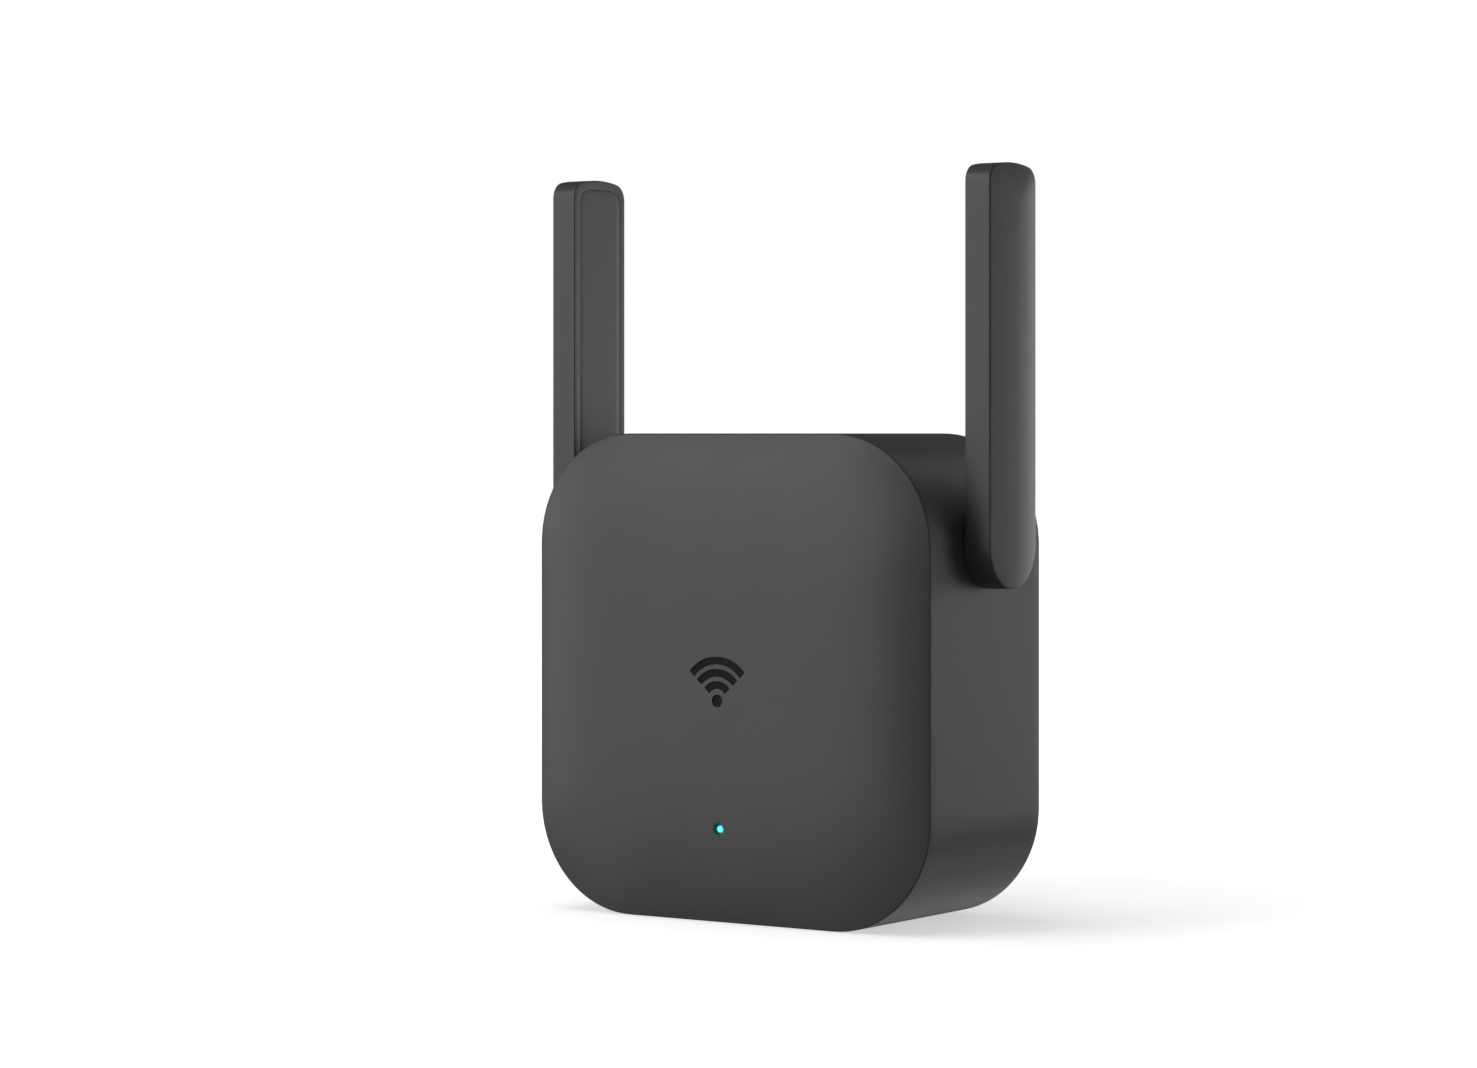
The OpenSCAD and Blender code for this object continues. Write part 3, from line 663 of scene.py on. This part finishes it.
def pins():
    """Pins with a thin shank and a rounded bare end, and sleeves with softened ends."""
    shank_r, sleeve_bore, sleeve_y = 1.35, 1.4, BOSS_Y + 10.0
    for side, word in ((-1, "left"), (1, "right")):
        centre = (side * PIN_X, PLUG_Z)
        tip = rounded_path([(shank_r, BOSS_Y - 1), (shank_r, sleeve_y - 0.1), (PIN_R, sleeve_y),
                            (PIN_R, TIP_Y - 0.9), (1.2, TIP_Y), (0.25, TIP_Y)], 0.25)
        mesh, rings = turned(tip, 48, centre, 1)
        mesh.tube(rings)
        mesh.cap(rings[0])
        mesh.cap(rings[-1][::-1])
        mesh.build(word + "_pin", finishes["nickel"], stands_for=["plug_pins"], flip=True)
        ends = BOSS_Y - 0.2, sleeve_y - 0.05
        sleeve = rounded_path([(sleeve_bore, ends[0]), (SLEEVE_R, ends[0]), (SLEEVE_R, ends[1]),
                               (sleeve_bore, ends[1])], 0.18)
        mesh, rings = turned(sleeve, 48, centre, 1)
        mesh.tube(rings + [rings[0]])
        mesh.build(word + "_sleeve", finishes["black_plastic"], stands_for=["pin_sleeves"],
                   flip=True)


def light_guide():
    """A clear rod: a narrow lit tip, a shoulder in the lamp's hole, a flange and a foot."""
    face = float(face_y(np.array(0.0), np.array(LAMP_Z - MID_Z)))
    tip_r, flange_r = 0.5, 1.6
    tip, shoulder, foot = face + 0.3, face + 0.75, RIM_Y + 6.45
    flange = face + 2.4, face + 3.0
    profile = np.concatenate([
        [(0.04, tip)],
        fillet((tip_r, tip), (0.3, tip), (tip_r, tip + 0.15), 5),
        fillet((tip_r, shoulder), (tip_r, shoulder - 0.07), (tip_r + 0.07, shoulder), 3),
        fillet((ROD_R, shoulder), (ROD_R - 0.06, shoulder), (ROD_R, shoulder + 0.06), 3),
        [(ROD_R, flange[0]), (flange_r, flange[0]), (flange_r, flange[1]),
         (ROD_R, flange[1]), (ROD_R, foot)]])
    mesh, rings = turned(profile, 40, (0, LAMP_Z), 1)
    mesh.tube(rings)
    mesh.cap(rings[0])
    mesh.cap(rings[-1][::-1])
    mesh.build("lamp_guide", finishes["lamp"], stands_for=["light_guide"], flip=True)


# ---- Antennas ----


def arm_outline(inset):
    """An arm's outline as (y, z): a half circle at the pivot, straight edges, two small
    corners and a shallow arch, all taken in by inset."""
    half = ARM_R - inset
    corner = ARM_CORNER * max(half, 0.05) / ARM_R
    arch = ARM_ARCH - inset
    cy = half - corner
    cz = math.sqrt((arch - corner) ** 2 - cy * cy)
    turn = math.atan2(cz, cy)
    arch_z = ARM_TOP - ARM_ARCH

    def arc(y, z, r, a, b, n):
        t = np.linspace(a, b, n)
        return np.stack([y + r * np.cos(t), z + r * np.sin(t)], -1)

    low = arc(0, PIVOT_Z, half, -math.pi / 2, 0, 29)
    rise = np.linspace(0, 1, 26)[1:-1, None]
    high = arc(cy, arch_z + cz, corner, 0, turn, 9)
    straight = low[-1] + (high[0] - low[-1]) * rise
    over = arc(0, arch_z, arch, turn, math.pi / 2, 13)[1:]
    right = np.concatenate([low, straight, high, over])
    left = right[-2:0:-1] * [-1, 1]
    return np.concatenate([right, left]) + [PIVOT_Y, 0]


def arm_rings(mesh, path, sign):
    """Rings of the arm's outline for each (inset, x) of the path, on the side that sign gives."""
    rings = []
    for inset, at_x in path:
        p = arm_outline(inset)
        rings.append(mesh.add(np.stack([np.full(len(p), sign * at_x), p[:, 0], p[:, 1]], -1)))
    return rings


def zip_up(mesh, ring, turn=False):
    """Closes a thin ring across its middle, each point to its mirror image."""
    n = len(ring) // 2
    a, b = ring[1:n], ring[:n:-1]
    parts = [a[:-1], a[1:], b[1:], b[:-1]]
    mesh.quads(*(parts[::-1] if turn else parts))
    for tri in ((ring[0], a[0], b[0]), (a[-1], ring[n], b[-1])):
        mesh.cap(tri[::-1] if turn else tri)


def antenna(word, sign):
    """A shell lofted over the arm's outline, its inner cover with a fine seam, and the hub."""
    body = word + "_antenna"

    def dome(inset):
        """The crowned outer face: edge + crown * (1 - (1 - inset / radius)^2)."""
        share = 1 - inset / ARM_R
        return ARM_EDGE + ARM_CROWN * (1 - share**2)

    inner_edge, seam_edge, step_x, wall = 0.16, 0.04, ARM_X + 0.9, 0.9
    shell_path = [(d, dome(d)) for d in (6.45, 5.4, 4.3, 3.3, 2.4, 1.6, 1.0, 0.6, 0.4)]
    shell_path += list(fillet((0, ARM_EDGE), (EDGE, dome(EDGE)), (0, ARM_EDGE - EDGE), 6))
    shell_path += list(fillet((0, ARM_X), (0, ARM_X + inner_edge), (inner_edge, ARM_X), 5))
    shell_path += list(fillet(
        (SEAM_OUT, ARM_X), (SEAM_OUT - seam_edge, ARM_X), (SEAM_OUT, ARM_X + seam_edge), 3))
    shell_path += [(SEAM_OUT, step_x), (2.2, step_x), (2.2, ARM_EDGE - wall),
                   (6.4, ARM_EDGE - wall)]
    mesh = Mesh()
    rings = arm_rings(mesh, shell_path, sign)
    mesh.tube(rings)
    zip_up(mesh, rings[0])
    zip_up(mesh, rings[-1], True)
    mesh.build(body + "_skin", shell, body, stands_for=[body + "_shell"], flip=sign < 0)

    mesh = Mesh()
    path = [(6.4, ARM_X + 0.85), (SEAM_IN, ARM_X + 0.85)]
    path += list(fillet(
        (SEAM_IN, ARM_X), (SEAM_IN, ARM_X + seam_edge), (SEAM_IN + seam_edge, ARM_X), 3))
    path += [(2.6, ARM_X), (4.4, ARM_X), (6.4, ARM_X)]
    rings = arm_rings(mesh, path, sign)
    mesh.tube(rings)
    zip_up(mesh, rings[0])
    zip_up(mesh, rings[-1], True)
    mesh.build(body + "_panel", shell, body, stands_for=[body + "_cover"], flip=sign < 0)

    bore, hub_r, ends = 3.05, 6.55, (SIDE_X + 0.07, ARM_X + 0.02)
    hub = rounded_path([(bore, ends[0]), (hub_r, ends[0]), (hub_r, ends[1]), (bore, ends[1])],
                       0.1)
    hub = [(r, sign * x) for r, x in hub]
    mesh, rings = turned(hub, 96, (PIVOT_Y, PIVOT_Z), 0)
    mesh.tube(rings + [rings[0]])
    mesh.build(body + "_hub", shell, body, stands_for=[body + "_cover"], flip=sign > 0)


front_housing()
rear_cover()
plug_base()
pins()
light_guide()
antenna("left", -1)
antenna("right", 1)


# ---- Floor, light and camera ----

FLOOR_HALF, FLOOR_Z = 4000.0, -0.02
AIM = np.array([0, 0, 0.06])
AMBIENT = 0.095

# The floor glows more with distance, so that it runs into the white behind without a line.
pale = Finish("floor", (0.93, 0.93, 0.93), 0.85, **{"Emission Color": (1, 1, 1, 1)})
far = pale.distance((1, 1, 1), (0, 0, 0))
pale.set(pale.shader, **{"Emission Strength": pale.ramp(far, 0.06, 0.3, 0.56, 1.0)})
pale.tint(pale.noise(60, 3), 0.01).rough(pale.noise(30, 3), 0.03)
# Seen from below it is clear.
below = pale.node("ShaderNodeNewGeometry").outputs["Backfacing"]
clear = pale.node("ShaderNodeBsdfTransparent").outputs[0]
surface = pale.feed(pale.node("ShaderNodeMixShader"), below, pale.shader.outputs[0], clear)
pale.set(pale.tree.nodes["Material Output"], Surface=surface)
ground = Mesh()
fx, fy = np.meshgrid([-FLOOR_HALF, FLOOR_HALF], [-FLOOR_HALF, FLOOR_HALF], indexing="ij")
ground.sheet(ground.add(np.stack([fx, fy, np.full(fx.shape, FLOOR_Z)], -1)))
floor = ground.build("floor", pale.material, body=None)
floor.visible_diffuse = floor.visible_glossy = floor.visible_shadow = False


def soft_box(name, turn, rise, power, reach=1.5, size=0.7):
    """A square soft box in metres and watts that faces the object from reach away.

    turn is its bearing in degrees from the front, positive to the right, and rise its height.
    """
    turn, rise = math.radians(turn), math.radians(rise)
    data = bpy.data.lights.new(name, "AREA")
    data.shape, data.size, data.energy = "SQUARE", size, power
    light = bpy.data.objects.new(name, data)
    way = np.array([math.sin(turn) * math.cos(rise), -math.cos(turn) * math.cos(rise),
                    math.sin(rise)])
    light.location = AIM + reach * way
    light.rotation_euler = (math.pi / 2 - rise, 0, turn)
    bpy.context.scene.collection.objects.link(light)
    return light


# Key light from the front left, fill from the front, and weaker boxes behind for the sides.
soft_box("left_box", -65, 5, 3.0)
soft_box("high_box", -34, 31, 4.4)
soft_box("low_box", -45, -20, 1.0)
soft_box("front_box", -25, 5, 3.3)
soft_box("front_fill", -5, 5, 0.6)
soft_box("right_back_box", 130, 0, 2.0)
soft_box("back_high_box", 170, 30, 0.7)
soft_box("back_low_box", 150, -35, 1.0)
soft_box("back_left_low_box", -170, -35, 0.9)
soft_box("near_back_box", 170, 0, 0.27, 0.35, 0.2)
soft_box("top_box", 0, 85, 0.6)

# One more box lights only the floor, from the left, so that the object casts a soft shadow.
floor_only = bpy.data.collections.new("floor_only")
floor_only.objects.link(floor)
soft_box("floor_box", -60, 77, 6.5, size=0.8).light_linking.receiver_collection = floor_only

# The air itself lights the object a little, and is plain white where the camera looks past it.
world = bpy.data.worlds.new("studio")
bpy.context.scene.world = world
world.use_nodes = True
tree = world.node_tree
back = tree.nodes["Background"]
white = tree.nodes.new("ShaderNodeBackground")
for background, strength in ((back, AMBIENT), (white, 1.0)):
    background.inputs["Color"].default_value = (1, 1, 1, 1)
    background.inputs["Strength"].default_value = strength
direct = tree.nodes.new("ShaderNodeLightPath").outputs["Is Camera Ray"]
either = tree.nodes.new("ShaderNodeMixShader")
for socket, value in zip(either.inputs, (direct, back.outputs[0], white.outputs[0])):
    tree.links.new(value, socket)
tree.links.new(either.outputs[0], tree.nodes["World Output"].inputs["Surface"])

camera_data = bpy.data.cameras.new("camera")
camera_data.lens, camera_data.sensor_width, camera_data.sensor_fit = 96.15, 36.0, "HORIZONTAL"
camera_data.shift_y = -0.0681
camera = bpy.data.objects.new("camera", camera_data)
camera.location = (0.3304, -0.5085, 0.0725)
camera.rotation_euler = (math.pi / 2, 0, math.radians(34.31))
bpy.context.scene.collection.objects.link(camera)
bpy.context.scene.camera = camera
bpy.context.scene.view_settings.view_transform = "Standard"
bpy.context.scene.view_settings.look = "None"
